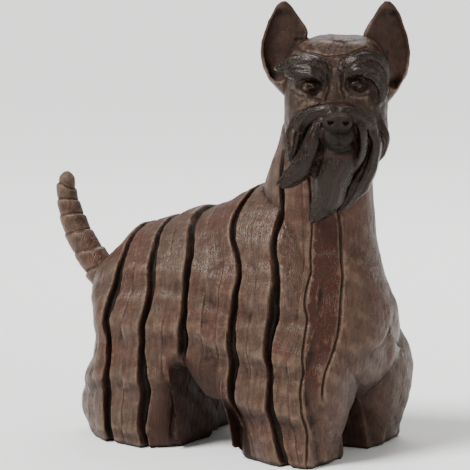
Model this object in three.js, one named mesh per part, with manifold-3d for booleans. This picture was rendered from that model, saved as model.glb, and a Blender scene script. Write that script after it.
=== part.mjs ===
import * as THREE from 'three';
import { mergeVertices } from 'three/addons/utils/BufferGeometryUtils.js';
import Module from 'manifold-3d';

// Standing terrier statuette, cast in one piece to look like carved planks of dark wood.
// Millimetres. The dog heads along +X, its left side is +Y and up is +Z. The shapes are
// worked out about the middle of the feet and moved at the end, so that the origin is the
// middle of the bounding box's underside.

const wasm = await Module();
wasm.setup();

// Driving dimensions of the trunk, from the rump forward.
const rumpX = -166;
const shoulderX = 90;
const widestZ = 74;
const bellyZ = 50;
const rearLegFrontX = -45.5;
const rearLegSetBack = 14;
const foreLegBackX = 9;
const rearCrotchZ = 50;
const foreCrotchZ = 57;
const rearGap = 9;
const foreGap = 15;
const footRound = 4;

// Driving dimensions of the carved planks. Deep grooves part them at these X, at mid height.
const grooves = [-111, -71, -32, 20, 58];
const grooveDepth = 9;
const grooveWidth = 6.5;
const plankStep = 1.6;
const rippleHeight = 2.1;
const rippleLength = 47;
// The groove over the belly runs out above the rear leg.
const endingGroove = -32;

// Points along a half ring: over the back, down the flank, up between the legs.
const arcSteps = 7;
const flankSteps = 7;
const crotchSteps = 3;

// The head is turned to the dog's right. Its own frame has e to the dog's left, f forward.
const headTurn = THREE.MathUtils.degToRad(-56);
const headX = 76;
const headY = -5.5;

// Value at x on the broken line through [x, value] pairs.
function follow(pairs, x) {
  if (x <= pairs[0][0]) return pairs[0][1];
  for (let i = 1; i < pairs.length; i += 1) {
    const [x0, v0] = pairs[i - 1];
    const [x1, v1] = pairs[i];
    if (x <= x1) return v0 + (v1 - v0) * (x - x0) / (x1 - x0);
  }
  return pairs[pairs.length - 1][1];
}

// Goes from 0 at a to 1 at b, level at both ends; a may be the larger.
function step(a, b, x) {
  const share = THREE.MathUtils.clamp((x - a) / (b - a), 0, 1);
  return share * share * (3 - 2 * share);
}

// Closed solid from vertices and triangles, turned the right way out.
function toSolid(points, triangles) {
  const triVerts = new Uint32Array(triangles.flat());
  const vertProperties = new Float32Array(points.flat());
  let volume = 0;
  for (const [a, b, c] of triangles) {
    const [p, q, r] = [points[a], points[b], points[c]];
    volume += p[0] * (q[1] * r[2] - q[2] * r[1]);
    volume += p[1] * (q[2] * r[0] - q[0] * r[2]);
    volume += p[2] * (q[0] * r[1] - q[1] * r[0]);
  }
  if (volume < 0) {
    for (let i = 0; i < triVerts.length; i += 3) {
      [triVerts[i + 1], triVerts[i + 2]] = [triVerts[i + 2], triVerts[i + 1]];
    }
  }
  return new wasm.Manifold(new wasm.Mesh({ numProp: 3, vertProperties, triVerts }));
}

// Skin over rings of equally many points. The end rings are closed by caps, which are
// triangulated as seen along the axis that is left out of capAxes.
function loft(rings, capAxes) {
  const count = rings[0].length;
  const triangles = [];
  for (let i = 0; i + 1 < rings.length; i += 1) {
    for (let j = 0; j < count; j += 1) {
      const a = i * count + j;
      const b = i * count + (j + 1) % count;
      triangles.push([a, b, b + count], [a, b + count, a + count]);
    }
  }
  for (const last of [false, true]) {
    const start = last ? (rings.length - 1) * count : 0;
    const ring = last ? rings[rings.length - 1] : rings[0];
    const flat = ring.map((p) => new THREE.Vector2(p[capAxes[0]], p[capAxes[1]]));
    const along = THREE.ShapeUtils.area(flat) > 0;
    for (const [a, b, c] of THREE.ShapeUtils.triangulateShape(flat, [])) {
      const same = (THREE.ShapeUtils.area([flat[a], flat[b], flat[c]]) > 0) === along;
      const [p, q] = same === last ? [b, c] : [c, b];
      triangles.push([start + a, start + p, start + q]);
    }
  }
  return toSolid(rings.flat(), triangles);
}

// Upright solid from superellipse rings { z, x, y, a, b, power }, in the head's frame or not.
function column(sections, sides, place = (x, y, z) => [x, y, z]) {
  const rings = sections.map(({ z, x, y = 0, a, b, power = 2 }) => {
    const ring = [];
    for (let j = 0; j < sides; j += 1) {
      const turn = 2 * Math.PI * j / sides;
      const [c, s] = [Math.cos(turn), Math.sin(turn)];
      const round = (v) => Math.sign(v) * Math.abs(v) ** (2 / power);
      ring.push(place(x + a * round(c), y + b * round(s), z));
    }
    return ring;
  });
  return loft(rings, [0, 1]);
}

// Solid from one of three.js's own closed geometries.
function fromGeometry(geometry) {
  geometry.deleteAttribute('normal');
  geometry.deleteAttribute('uv');
  const merged = mergeVertices(geometry, 1e-4);
  const place = merged.attributes.position;
  const points = [];
  for (let i = 0; i < place.count; i += 1) points.push([place.getX(i), place.getY(i), place.getZ(i)]);
  const triangles = [];
  const index = Array.from(merged.index.array);
  for (let i = 0; i < index.length; i += 3) triangles.push(index.slice(i, i + 3));
  return toSolid(points, triangles);
}

function oval(centre, radii, around, down) {
  const ball = new THREE.SphereGeometry(1, around, down);
  ball.scale(...radii);
  ball.translate(...centre);
  return fromGeometry(ball);
}

// Rod of oval section along a smooth curve through centres, thinner or thicker on the way.
// wide(t) is the half-width square to the curve and the thickness direction, deep(t) along it.
function rod(centres, wide, deep, thickness, rings, sides) {
  const curve = new THREE.CatmullRomCurve3(centres.map((p) => new THREE.Vector3(...p)));
  const points = [];
  const triangles = [];
  for (let i = 0; i <= rings; i += 1) {
    const t = i / rings;
    const centre = curve.getPoint(t);
    const along = curve.getTangent(t);
    const across = new THREE.Vector3().crossVectors(thickness, along).normalize();
    const through = new THREE.Vector3().crossVectors(along, across).normalize();
    for (let j = 0; j < sides; j += 1) {
      const turn = 2 * Math.PI * (j + 0.5) / sides;
      const p = centre.clone();
      p.addScaledVector(across, wide(t) * Math.cos(turn));
      p.addScaledVector(through, deep(t) * Math.sin(turn));
      points.push(p.toArray());
    }
  }
  for (let i = 0; i < rings; i += 1) {
    for (let j = 0; j < sides; j += 1) {
      const a = i * sides + j;
      const b = i * sides + (j + 1) % sides;
      triangles.push([a, b, b + sides], [a, b + sides, a + sides]);
    }
  }
  for (let j = 1; j + 1 < sides; j += 1) {
    const end = rings * sides;
    triangles.push([0, j + 1, j], [end, end + j, end + j + 1]);
  }
  return toSolid(points, triangles);
}

// Trunk and legs are one skin over upright rings that follow the planks from rump to chest.
// Height of the back's crest by the crest's own X.
const crest = [
  [rumpX, 138], [-160, 153], [-141, 172], [-121, 187], [-91, 196], [-73, 204],
  [-57, 207], [-50, 206], [-25, 215], [-4, 226], [4, 232], [50, 236], [shoulderX, 205],
];
// Widest half-width of the flank.
const flank = [
  [rumpX, 30], [-161, 44], [-150, 59], [-140, 67], [-125, 75], [-109, 80],
  [-84, 83], [-71, 83], [-48, 80], [-30, 80], [0, 80], [24, 81], [48, 83], [74, 82],
  [84, 79], [shoulderX, 73],
];
// Half-width of the feet where they stand.
const foot = [
  [rumpX, 26], [-161, 40], [-150, 54], [-140, 63], [-125, 72], [-108, 79], [-74, 81],
  [-66, 79], [-59, 74], [-52, 66], [-47, 56], [-44, 46], [8, 40], [13, 48], [20, 62], [30, 73],
  [44, 78], [74, 77], [84, 74], [shoulderX, 68],
];
// How far each plank's ring leans back where it crosses the crest.
const crestLean = [
  [rumpX, 0], [-150, 3], [-111, 7], [-71, 20], [-32, 21], [20, 18], [58, 12], [shoulderX, 4],
];
// How far the planks of the fore legs lean forward at the ground.
const splayTable = [[-30, 0], [9, 4], [20, 9], [58, 14], [shoulderX, 8]];
// Underside between the legs.
const underside = [
  [rearLegFrontX, -3], [rearLegFrontX + 2, 76], [-30, 74], [-20, 62], [-10, bellyZ + 2],
  [0, bellyZ], [foreLegBackX, bellyZ + 2], [foreLegBackX + 3, -3],
];

// Height of the flank's widest line, which rises over the belly.
const widestLine = [[-80, widestZ], [-46, 88], [-28, 88], [-8, 78], [20, widestZ]];

// Soft carved waves that run level round the flanks, each plank a little out of step.
function ripple(x, z) {
  const phase = 0.9 * Math.sin(x / 31) + x / 160;
  const wave = Math.sin(2 * Math.PI * z / rippleLength + phase);
  return rippleHeight * wave * step(205, 150, z) * step(-2, 16, z);
}

// Each group of planks starts sunk behind its groove and ends proud at the next one.
function plankRise(x) {
  const i = grooves.filter((g) => g <= x).length;
  const start = i > 0 ? grooves[i - 1] : rumpX;
  const end = i < grooves.length ? grooves[i] : shoulderX;
  const share = (x - start) / (end - start);
  return plankStep * (i < grooves.length ? 2 * share - 1 : share - 1);
}

// Forward shift of a point of the ring at station x: the planks lean back over the crest,
// sway a little, splay forward at the fore feet, and the rump is hollowed above the hocks,
// which stand out.
function shift(x, z) {
  const hollow = 12 * step(44, 72, z) * step(135, 96, z) + 4 * step(20, 0, z);
  const hock = 6 * step(6, 24, z) * step(48, 32, z);
  const rump = (hollow - hock) * step(-118, -160, x);
  const sway = 1.4 * Math.sin(z / 12 + x / 23);
  const splay = follow(splayTable, x) * step(62, -5, z);
  return rump + sway + splay - follow(crestLean, x) * step(150, 212, z);
}

// One side of a ring from the crest down the flank, under the foot or belly and up between
// the legs. Inset rings are groove floors, shallow on the crest. Spread moves the ring to
// the groove's near (-1) or far (1) lip.
function halfRing({ x, inset, spread }, side) {
  const crestZ = follow(crest, x - follow(crestLean, x)) + 0.7 * plankRise(x) - 0.45 * inset;
  const setBack = side > 0 && x < -20 ? rearLegSetBack : 0;
  const bottom = follow(underside, x + setBack);
  const onFoot = bottom < 0;
  const lost = (z) => (x === endingGroove ? inset * step(92, 76, z) : 0);
  const low = onFoot ? bottom : bottom + inset - lost(bottom);
  const swell = side > 0 ? 1 + 0.17 * step(0, 70, x) : 1;
  const rise = plankRise(x) + plankStep * -spread;
  const wide = follow(flank, x) * swell + rise - inset;
  const standing = Math.min(follow(foot, x), follow(foot, x + setBack)) * swell + rise - inset;
  const footWide = onFoot ? standing : wide * 0.9;
  const widest = follow(widestLine, x + setBack);
  const rear = x < -20;
  const narrowed = rear && onFoot ? 24 * step(-78, rearLegFrontX, x + setBack) : 0;
  const crotch = onFoot ? (rear ? rearCrotchZ : foreCrotchZ) + inset : low + 1.5;
  const gapOnFoot = rear ? rearGap : foreGap + 5 * step(40, 88, x);
  const gap = onFoot ? Math.min(gapOnFoot + inset, footWide - footRound - 3) : wide * 0.5;
  const bell = 0.6 * step(52, shoulderX, x);
  const half = [];
  for (let k = 0; k <= arcSteps; k += 1) {
    const turn = Math.PI / 2 * (1 - k / arcSteps);
    const up = Math.sin(turn) ** 0.95;
    const z = widest + (crestZ - widest) * up;
    const out = THREE.MathUtils.lerp(Math.cos(turn) ** 0.95, (1 - up) ** 0.85, bell);
    half.push([wide * out + ripple(x, z) * Math.cos(turn), z]);
  }
  for (let k = 1; k <= flankSteps; k += 1) {
    const z = widest + (low + footRound - widest) * k / flankSteps;
    const out = THREE.MathUtils.lerp(wide, footWide, step(widest, low + narrowed, z));
    half.push([out + lost(z) + ripple(x, z), z]);
  }
  half.push([footWide - footRound, low]);
  for (let k = 0; k <= crotchSteps; k += 1) {
    const turn = Math.PI / 2 * k / crotchSteps;
    half.push([gap * Math.cos(turn), low + (crotch - low) * Math.sin(turn)]);
  }
  return half.map(([y, z]) => {
    const lip = spread * grooveWidth / 2 * (1 + 0.35 * Math.sin(z / 17 + x / 9));
    return [x + shift(x, z) + lip, side * Math.max(y, 0), z];
  });
}

function fullRing(station) {
  const right = halfRing(station, -1);
  const left = halfRing(station, 1).slice(1, -1).reverse();
  return [...right, ...left];
}

const legFaces = [
  rearLegFrontX - rearLegSetBack, rearLegFrontX - rearLegSetBack + 2, rearLegFrontX,
  rearLegFrontX + 2, foreLegBackX, foreLegBackX + 3.2,
];
const betweenGrooves = [
  rumpX, -163, -157, -149, -139, -126, -98, -84, -51, -22, -13, -4, 32, 45, 70, 79, 86, shoulderX,
];
const plain = [...legFaces, ...betweenGrooves].map((x) => ({ x, inset: 0, spread: 0 }));
const grooved = grooves.flatMap((x) => [
  { x, inset: 0, spread: -1 }, { x, inset: grooveDepth, spread: -0.8 },
  { x, inset: grooveDepth, spread: 0.8 }, { x, inset: 0, spread: 1 },
]);
const stations = [...plain, ...grooved].sort((p, q) => p.x - q.x || p.spread - q.spread);
const trunk = loft(stations.map(fullRing), [1, 2]);

// Chest and neck, one upright column of rounded rings between the shoulders and the skull.
const neckRings = [
  { z: 50, x: 60, y: 2, a: 40, b: 14 },
  { z: 62, x: 60, y: 2, a: 52, b: 40, power: 2.2 },
  { z: 78, x: 60, y: 4, a: 58, b: 70, power: 2.4 },
  { z: 103, x: 60, y: 6, a: 60, b: 77, power: 2.4 },
  { z: 127, x: 60, y: 6, a: 58, b: 70, power: 2.3 },
  { z: 150, x: 60, y: 3, a: 54, b: 57, power: 2.1 },
  { z: 182, x: 60, a: 49.5, b: 49 },
  { z: 205, x: 58.5, a: 49, b: 46 },
  { z: 229, x: 57.5, a: 48, b: 44 },
  { z: 248, x: 61, a: 45, b: 43 },
  { z: 264, x: 66, a: 43, b: 42 },
  { z: 286, x: 72, a: 43, b: 40 },
  { z: 306, x: 78, a: 34, b: 34 },
];
const slimmer = (ring) => ({ ...ring, a: ring.a - 0.8 * grooveDepth, b: ring.b - 0.8 * grooveDepth });
let neck = column(neckRings, 24);
const neckCore = column(neckRings.slice(4).map(slimmer), 16);

// Keel of the breast between the shoulders.
const keel = oval([89, -7, 116], [35, 32, 54], 14, 10);

// Fore legs, two rounded columns in front of the planks. The left one swells more.
const rightLeg = column([
  { z: -3, x: 57, y: -45, a: 41, b: 25, power: 3 },
  { z: 3, x: 57, y: -45, a: 43, b: 27, power: 3 },
  { z: 22, x: 58, y: -43, a: 44, b: 29, power: 2.8 },
  { z: 40, x: 59, y: -41, a: 47, b: 31, power: 2.8 },
  { z: 58, x: 60, y: -38, a: 50, b: 38, power: 2.8 },
  { z: 80, x: 60, y: -36, a: 52, b: 39, power: 2.6 },
  { z: 110, x: 60, y: -30, a: 48, b: 34, power: 2.4 },
], 20);
const leftLeg = column([
  { z: -3, x: 68, y: 51, a: 30, b: 30, power: 3 },
  { z: 3, x: 69, y: 52, a: 31, b: 32, power: 3 },
  { z: 22, x: 75, y: 54, a: 31, b: 35, power: 3 },
  { z: 40, x: 80, y: 53, a: 31, b: 39, power: 3 },
  { z: 62, x: 83, y: 53, a: 31, b: 42, power: 2.8 },
  { z: 82, x: 82, y: 50, a: 31, b: 42, power: 2.6 },
  { z: 110, x: 76, y: 40, a: 30, b: 36, power: 2.4 },
  { z: 130, x: 68, y: 30, a: 26, b: 28, power: 2.4 },
], 18);

// The two foremost grooves run on up the neck. Each is opened by a wavy upright blade.
function neckBlade(x, bottom, top) {
  const rings = [];
  for (let i = 0; i <= 5; i += 1) {
    const z = bottom + (top - bottom) * i / 5;
    const half = grooveWidth / 2 * (1 + 0.35 * Math.sin(z / 17 + x / 9));
    const centre = x + shift(x, z);
    rings.push([
      [centre - half, -90, z], [centre + half, -90, z],
      [centre + half, 90, z], [centre - half, 90, z],
    ]);
  }
  return loft(rings, [0, 1]);
}
neck = neck.subtract(neckBlade(grooves[3], 130, 246)).subtract(neckBlade(grooves[4], 130, 262));
const body = trunk.add(neck.add(neckCore)).add(rightLeg).add(leftLeg).add(keel);

// Ringed tail, swept back and up from the top of the rump.
const tailCentres = [
  [-140, 0, 112], [-163, 0, 130], [-182, 0, 150], [-198, 0, 172], [-207, 0, 193],
  [-211, 0, 210], [-209.5, 0, 228],
];
const tailTaper = [
  [0, 17], [0.25, 14.5], [0.5, 12.8], [0.72, 10.5], [0.87, 8.8], [0.94, 7.4], [1, 5.2],
];
const tailKnobs = 8;
// Each knob swells from the slit at its foot to just under its upper rim.
const knobSwell = [0.9, 0.97, 1.02];
const tailRings = tailKnobs * knobSwell.length;
function tailRadius(t) {
  return follow(tailTaper, t) * knobSwell[Math.round(t * tailRings) % knobSwell.length];
}
const tail = rod(tailCentres, tailRadius, tailRadius, new THREE.Vector3(0, 1, 0), tailRings, 12);

// Head, in its own frame.
function inHead(e, f, z) {
  const [c, s] = [Math.cos(headTurn), Math.sin(headTurn)];
  return [headX + f * c - e * s, headY + f * s + e * c, z];
}
const headRings = [
  { z: 236, x: 0, y: -4, a: 30, b: 30 },
  { z: 250, x: 2, y: -3, a: 34, b: 34 },
  { z: 262, x: 2, y: -2, a: 40, b: 37, power: 2.3 },
  { z: 280, x: 2, y: -2, a: 44, b: 40, power: 2.4 },
  { z: 300, x: 2, y: -3, a: 44, b: 40, power: 2.4 },
  { z: 318, x: 2, y: -4, a: 43.5, b: 39, power: 2.4 },
  { z: 334, x: 2, y: -4, a: 43, b: 37, power: 2.4 },
  { z: 347, x: 3, y: -5, a: 39, b: 32, power: 2.3 },
  { z: 355, x: 4, y: -6, a: 33, b: 25, power: 2.2 },
  { z: 359.5, x: 5, y: -7, a: 25, b: 17 },
  { z: 361, x: 5, y: -7, a: 15, b: 9 },
];
const skull = column(headRings, 24, inHead);

function headOval([e, f, z], [wide, deep, tall], around, down) {
  const ball = new THREE.SphereGeometry(1, around, down);
  ball.rotateX(Math.PI / 2);
  ball.scale(wide, deep, tall);
  ball.translate(e, f, z);
  ball.rotateZ(headTurn - Math.PI / 2);
  ball.translate(headX, headY, 0);
  return fromGeometry(ball);
}

function headRod(centres, wide, deep, rings = 9, sides = 8) {
  const forward = new THREE.Vector3(Math.cos(headTurn), Math.sin(headTurn), 0);
  const placed = centres.map((p) => inHead(...p));
  return rod(placed, (t) => follow(wide, t), (t) => follow(deep, t), forward, rings, sides);
}

// Muzzle and nose pad: rounded rings stacked forward from the face.
function frontRing(f, e, z, a, b, sides = 16) {
  const round = (v) => Math.sign(v) * Math.abs(v) ** (2 / 2.6);
  const ring = [];
  for (let j = 0; j < sides; j += 1) {
    const turn = 2 * Math.PI * j / sides;
    ring.push(inHead(e + a * round(Math.cos(turn)), f, z + b * round(Math.sin(turn))));
  }
  return ring;
}
const muzzle = loft([
  frontRing(5, 0, 290, 30, 24), frontRing(30, 0, 291, 25, 20), frontRing(44, 0, 289, 18, 17),
  frontRing(58, 0, 285, 14, 14), frontRing(65, 0, 283, 12.5, 12), frontRing(69, 0, 282, 9, 8.5),
], [0, 2]);
const nosePad = loft([
  frontRing(54, -1, 296, 8, 5), frontRing(62, -1, 295, 11, 6.5), frontRing(69, -1, 294, 12.5, 7.2),
  frontRing(73.5, -1, 293.6, 11, 6), frontRing(75, -1, 293.5, 8, 4),
], [0, 2]);

// Ears: upright leaves, hollowed from the front.
const earTop = 390;
const earOutline = [
  [296, 34, 41], [306, 33, 50], [315, 32, 57], [327, 31, 63.5], [338, 29.5, 65.5],
  [350, 27, 65.5], [361, 25, 63], [371, 30, 59.5], [380, 36, 56], [387, 41, 52],
  [earTop, 44.5, 47.5],
];
const hollowOutline = [
  [319, 50, 52], [325, 42, 58], [333, 37, 61], [345, 33, 61.5], [357, 32, 60],
  [368, 35, 57], [377, 40, 53.5], [383, 44, 50],
];
function leaf(outline, side, f, depth) {
  const sections = outline.map(([z, inner, outer]) => {
    const [a, b] = side < 0 ? [4 - outer, 4 - inner] : [inner, outer];
    const thin = follow([[296, 1], [350, 0.9], [earTop, 0.3]], z);
    const raised = side < 0 ? z + 0.08 * (earTop - z) : z;
    return { z: raised, x: (a + b) / 2, y: f, a: (b - a) / 2, b: depth * thin };
  });
  return column(sections, 14, inHead);
}
let head = skull.add(muzzle).add(nosePad);
for (const side of [-1, 1]) {
  head = head.add(leaf(earOutline, side, -12, 13)).subtract(leaf(hollowOutline, side, 4, 17));
}

// Eye sockets and glossy eyeballs.
const eyes = [[-22.5, 320], [17, 322]];
for (const [e, z] of eyes) {
  head = head.subtract(headOval([e, 38, z], [11, 10, 8], 12, 6));
  head = head.add(headOval([e, 23, z], [8.5, 8.5, 8.5], 12, 8));
}

// Brows, moustache over the nose, whiskers and beard, each a lock of its own.
const archWide = [[0, 5], [0.3, 7], [0.7, 7], [1, 3]];
const archDeep = [[0, 4], [0.4, 6], [1, 3]];
const lockDeep = [[0, 6], [0.5, 8], [1, 2]];
const locks = [
  headRod([[-50, 11, 333], [-36, 22, 336], [-21, 31, 337], [-12, 31, 332], [-9, 30, 321]],
    [[0, 2], [0.3, 10], [0.7, 10], [1, 3]], [[0, 3], [0.5, 6], [1, 3]]),
  headRod([[43, 12, 318], [38, 19, 332], [23, 31, 340], [11, 31, 334], [7, 30, 320]],
    [[0, 3], [0.3, 10], [0.7, 11], [1, 3]], [[0, 3], [0.5, 6], [1, 3]]),
  headRod([[-1, 60, 302], [-13, 56, 302], [-24, 50, 297], [-31, 45, 289], [-35, 42, 277]],
    archWide, archDeep, 6, 6),
  headRod([[0, 60, 302], [9, 59, 301], [18, 55, 297], [27, 49, 288], [32, 44, 276]],
    archWide, archDeep, 6, 6),
  headRod([[-20, 43, 299], [-31, 40, 289], [-36, 40, 272], [-38.5, 41, 256]],
    [[0, 6], [0.35, 9.5], [0.65, 8.5], [0.9, 4], [1, 1]], lockDeep, 6),
  headRod([[-13, 56, 296], [-19, 56, 284], [-23, 54, 269], [-31, 51, 253], [-41, 47, 244],
    [-52, 44, 239]],
    [[0, 4], [0.2, 6], [0.4, 8], [0.6, 10.5], [0.8, 8], [1, 1]], lockDeep),
  headRod([[2, 54, 276], [1, 55, 260], [-5, 51, 245], [-8, 47, 229], [-14, 43, 217], [-22, 40, 207]],
    [[0, 12], [0.2, 15], [0.4, 15], [0.6, 13], [0.8, 10], [1, 2]],
    [[0, 8], [0.5, 11], [1, 3]], 9, 10),
  headRod([[8, 57, 299], [17, 57, 291], [20, 56, 279], [18, 54, 264], [9, 51, 248], [3, 48, 237]],
    [[0, 3.5], [0.4, 4.5], [0.7, 4.5], [1, 1]], lockDeep, 8, 6),
  headRod([[26, 47, 288], [31, 44, 275], [29, 43, 263], [25, 43, 251], [18, 42, 239], [10, 41, 226],
    [0, 39, 213]],
    [[0, 5], [0.17, 6.5], [0.33, 7], [0.5, 8.5], [0.67, 9.5], [0.83, 6], [1, 1]], lockDeep),
  headRod([[36, 20, 296], [40, 20, 282], [40, 22, 272], [36, 26, 262], [29, 30, 248]],
    [[0, 3], [0.4, 5.5], [0.7, 5], [1, 1]], [[0, 5], [0.5, 7], [1, 2]], 5, 6),
];
for (const lock of locks) head = head.add(lock);

// Everything joined, cut flat at the ground and moved onto its origin.
const joined = body.add(tail).add(head);
const groundSize = 700;
const ground = new THREE.BoxGeometry(groundSize, groundSize, groundSize);
ground.translate(0, 0, -groundSize / 2);
const standing = joined.subtract(fromGeometry(ground));

const surface = standing.getMesh();
const geometry = new THREE.BufferGeometry();
geometry.setAttribute('position', new THREE.BufferAttribute(new Float32Array(surface.vertProperties), 3));
geometry.setIndex(new THREE.BufferAttribute(new Uint32Array(surface.triVerts), 1));
geometry.computeBoundingBox();
const middle = geometry.boundingBox.getCenter(new THREE.Vector3());
geometry.translate(-middle.x, -middle.y, -geometry.boundingBox.min.z);
geometry.computeVertexNormals();

const resin = new THREE.MeshStandardMaterial({ color: 0x4b3229, roughness: 0.52, metalness: 0 });
const statuette = new THREE.Mesh(geometry, resin);
statuette.name = 'terrier_statuette';

const group = new THREE.Group();
group.add(statuette);
export default group;
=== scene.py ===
import math

import bpy
import numpy as np
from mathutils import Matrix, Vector


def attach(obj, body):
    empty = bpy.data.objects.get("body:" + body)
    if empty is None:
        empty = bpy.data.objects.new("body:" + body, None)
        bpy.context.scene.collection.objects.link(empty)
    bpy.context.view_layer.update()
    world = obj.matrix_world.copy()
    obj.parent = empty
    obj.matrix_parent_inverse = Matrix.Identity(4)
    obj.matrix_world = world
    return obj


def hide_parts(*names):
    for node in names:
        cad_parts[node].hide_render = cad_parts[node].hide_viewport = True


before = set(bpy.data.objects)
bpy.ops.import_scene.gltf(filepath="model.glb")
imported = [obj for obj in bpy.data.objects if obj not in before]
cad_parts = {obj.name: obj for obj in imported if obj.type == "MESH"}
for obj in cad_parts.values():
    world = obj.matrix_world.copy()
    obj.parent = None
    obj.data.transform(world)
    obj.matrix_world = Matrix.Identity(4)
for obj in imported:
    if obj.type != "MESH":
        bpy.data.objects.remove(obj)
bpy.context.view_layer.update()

# The statuette: a standing terrier, cast in one hollow piece of dark resin from a dog carved out
# of upright planks, with no joints and no plinth. Its form is sculpted, so its skin is made of
# rings of points, joined by a voxel remesh and carved, which primitives and modifiers can't do.

# Millimetres, +X the way the dog heads, +Y its left, until the mesh moves to the CAD's origin.
MM = 0.001
ORIGIN = np.array([-43.82, 5.46, 0.0])


def along(pairs, x):
    """Value at x on the broken line through (x, value) pairs."""
    return np.interp(x, *zip(*pairs))


def soft(pairs, x, reach):
    """The same line with its corners rounded over reach."""
    offsets = np.linspace(-reach, reach, 7)
    weights = 1.15 - np.abs(offsets) / reach
    return sum(w * along(pairs, x + o) for w, o in zip(weights, offsets)) / weights.sum()


def step(a, b, x):
    """Goes from 0 at a to 1 at b, level at both ends; a may be the larger."""
    share = np.clip((x - a) / (b - a), 0, 1)
    return share * share * (3 - 2 * share)


def waves(points, length, seed):
    """Smooth random height between about -1 and 1 at each point, bumps about length wide."""
    dice = np.random.default_rng(seed)
    total = np.zeros(len(points))
    for _ in range(9):
        way = dice.normal(size=3)
        way *= 2 * math.pi / (length * dice.uniform(0.7, 1.6) * np.linalg.norm(way))
        total += np.sin(points @ way + dice.uniform(0, 2 * math.pi))
    return total / 3.2


# Trunk and legs: upright rings that follow the planks from the rump to the chest. Five deep
# grooves part the planks into groups, and soft waves run level across them all.
RUMP_X, SHOULDER_X = -166, 90
WIDEST_Z, BELLY_Z = 74, 50
REAR_LEG_FRONT, REAR_LEG_SET_BACK, FORE_LEG_BACK = -45.5, 14, 9
REAR_END = -20  # planks behind this belong to the rear legs
REAR_CROTCH_Z, FORE_CROTCH_Z = 50, 57
REAR_GAP, FORE_GAP, FOOT_ROUND = 9, 15, 5
GROOVES = (-111, -71, -32, 20, 58)
GROOVE_DEPTH, GROOVE_HALF, PLANK_STEP = 9, 2.8, 1.6
ENDING_GROOVE = -32
RIPPLE_HEIGHT, RIPPLE_LENGTH = 2.1, 47
JOINTS = (-144, -129, -92, -51, -12, 4, 38, 76)
CREST = (
    (RUMP_X, 138), (-160, 153), (-141, 172), (-121, 187), (-91, 196), (-73, 204),
    (-57, 207), (-50, 206), (-25, 215), (-4, 226), (4, 232), (50, 236), (SHOULDER_X, 205),
)
FLANK = (
    (RUMP_X, 30), (-161, 44), (-150, 59), (-140, 67), (-125, 75), (-109, 80), (-84, 83),
    (-71, 83), (-48, 80), (-30, 80), (0, 80), (24, 81), (48, 83), (74, 82), (84, 79),
    (SHOULDER_X, 73),
)
FOOT = (
    (RUMP_X, 26), (-161, 40), (-150, 54), (-140, 63), (-125, 72), (-108, 79), (-74, 81),
    (-66, 79), (-59, 74), (-52, 66), (-47, 56), (-44, 46), (8, 40), (13, 48), (20, 62), (30, 73),
    (44, 78), (74, 77), (84, 74), (SHOULDER_X, 68),
)
CREST_LEAN = (
    (RUMP_X, 0), (-150, 3), (-111, 7), (-71, 20), (-32, 21), (20, 18), (58, 12), (SHOULDER_X, 4),
)
SPLAY = ((-30, 0), (9, 4), (20, 9), (58, 14), (SHOULDER_X, 8))
UNDERSIDE = (
    (REAR_LEG_FRONT, -3), (REAR_LEG_FRONT + 2, 76), (-30, 74), (-20, 62), (-10, BELLY_Z + 2),
    (0, BELLY_Z), (FORE_LEG_BACK, BELLY_Z + 2), (FORE_LEG_BACK + 3, -3),
)
WIDEST_LINE = ((-80, WIDEST_Z), (-46, 88), (-28, 88), (-8, 78), (20, WIDEST_Z))


def shift(u, z):
    """How far the plank at station u has moved forward at height z."""
    hollow = 12 * step(44, 72, z) * step(135, 96, z) + 4 * step(20, 0, z)
    hock = 6 * step(6, 24, z) * step(48, 32, z)
    rump = (hollow - hock) * step(-118, -160, u)
    sway = 1.4 * np.sin(z / 12 + u / 23)
    splay = along(SPLAY, u) * step(62, -5, z)
    return rump + sway + splay - along(CREST_LEAN, u) * step(150, 212, z)


def station_at(x, z):
    """The station whose plank has moved to x at height z."""
    u = np.array(x, dtype=float)
    for _ in range(12):
        u = 0.5 * u + 0.5 * (x - shift(u, z))
    return u


def plank_rise(u):
    """Each group of planks starts sunk behind its groove and ends proud at the next one."""
    edges = (RUMP_X - 60,) + GROOVES
    share = np.zeros_like(u)
    for i, start in enumerate(edges):
        end = edges[i + 1] if i + 1 < len(edges) else SHOULDER_X + 10
        inside = (u >= start) & (u < end)
        share = np.where(inside, (u - start) / (end - start), share)
    rise = PLANK_STEP * (2 * share - 1)
    for joint in JOINTS:
        rise = rise + 0.7 * math.sin(joint * 5.3) * step(joint - 0.6, joint + 0.6, u) \
            * step(joint + 22, joint + 4, u)
    return rise


def ripple(u, z):
    """Soft waves carved level round the flanks, each plank a little out of step."""
    phase = 0.9 * np.sin(u / 31) + u / 160
    for joint in JOINTS + GROOVES:
        phase = phase + 0.6 * math.sin(joint * 7.7) * step(joint - 1, joint + 1, u)
    wave = np.sin(2 * np.pi * z / RIPPLE_LENGTH + phase)
    sharper = wave + 0.3 * np.sin(4 * np.pi * z / RIPPLE_LENGTH + 2.3 * phase)
    return RIPPLE_HEIGHT * sharper * step(205, 150, z) * step(-2, 16, z)


def groove_sink(u, z, depth=GROOVE_DEPTH):
    """Depth of the deep grooves between the groups of planks, with wavy lips."""
    total = np.zeros(np.broadcast(u, z).shape)
    for i, groove in enumerate(GROOVES):
        swell = 1 + 0.35 * np.sin(z / 17 + groove / 9) + 0.08 * np.sin(z / 7.1 + groove)
        half = GROOVE_HALF * swell * (1 - 0.45 * step(140, 205, z))
        centre = groove + 0.4 * np.sin(z / 9.3 + i)
        cut = depth * step(half + 0.9, half - 0.9, np.abs(u - centre))
        if groove == ENDING_GROOVE:
            cut = cut * step(76, 92, z)
        total = np.maximum(total, cut)
    return total


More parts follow.
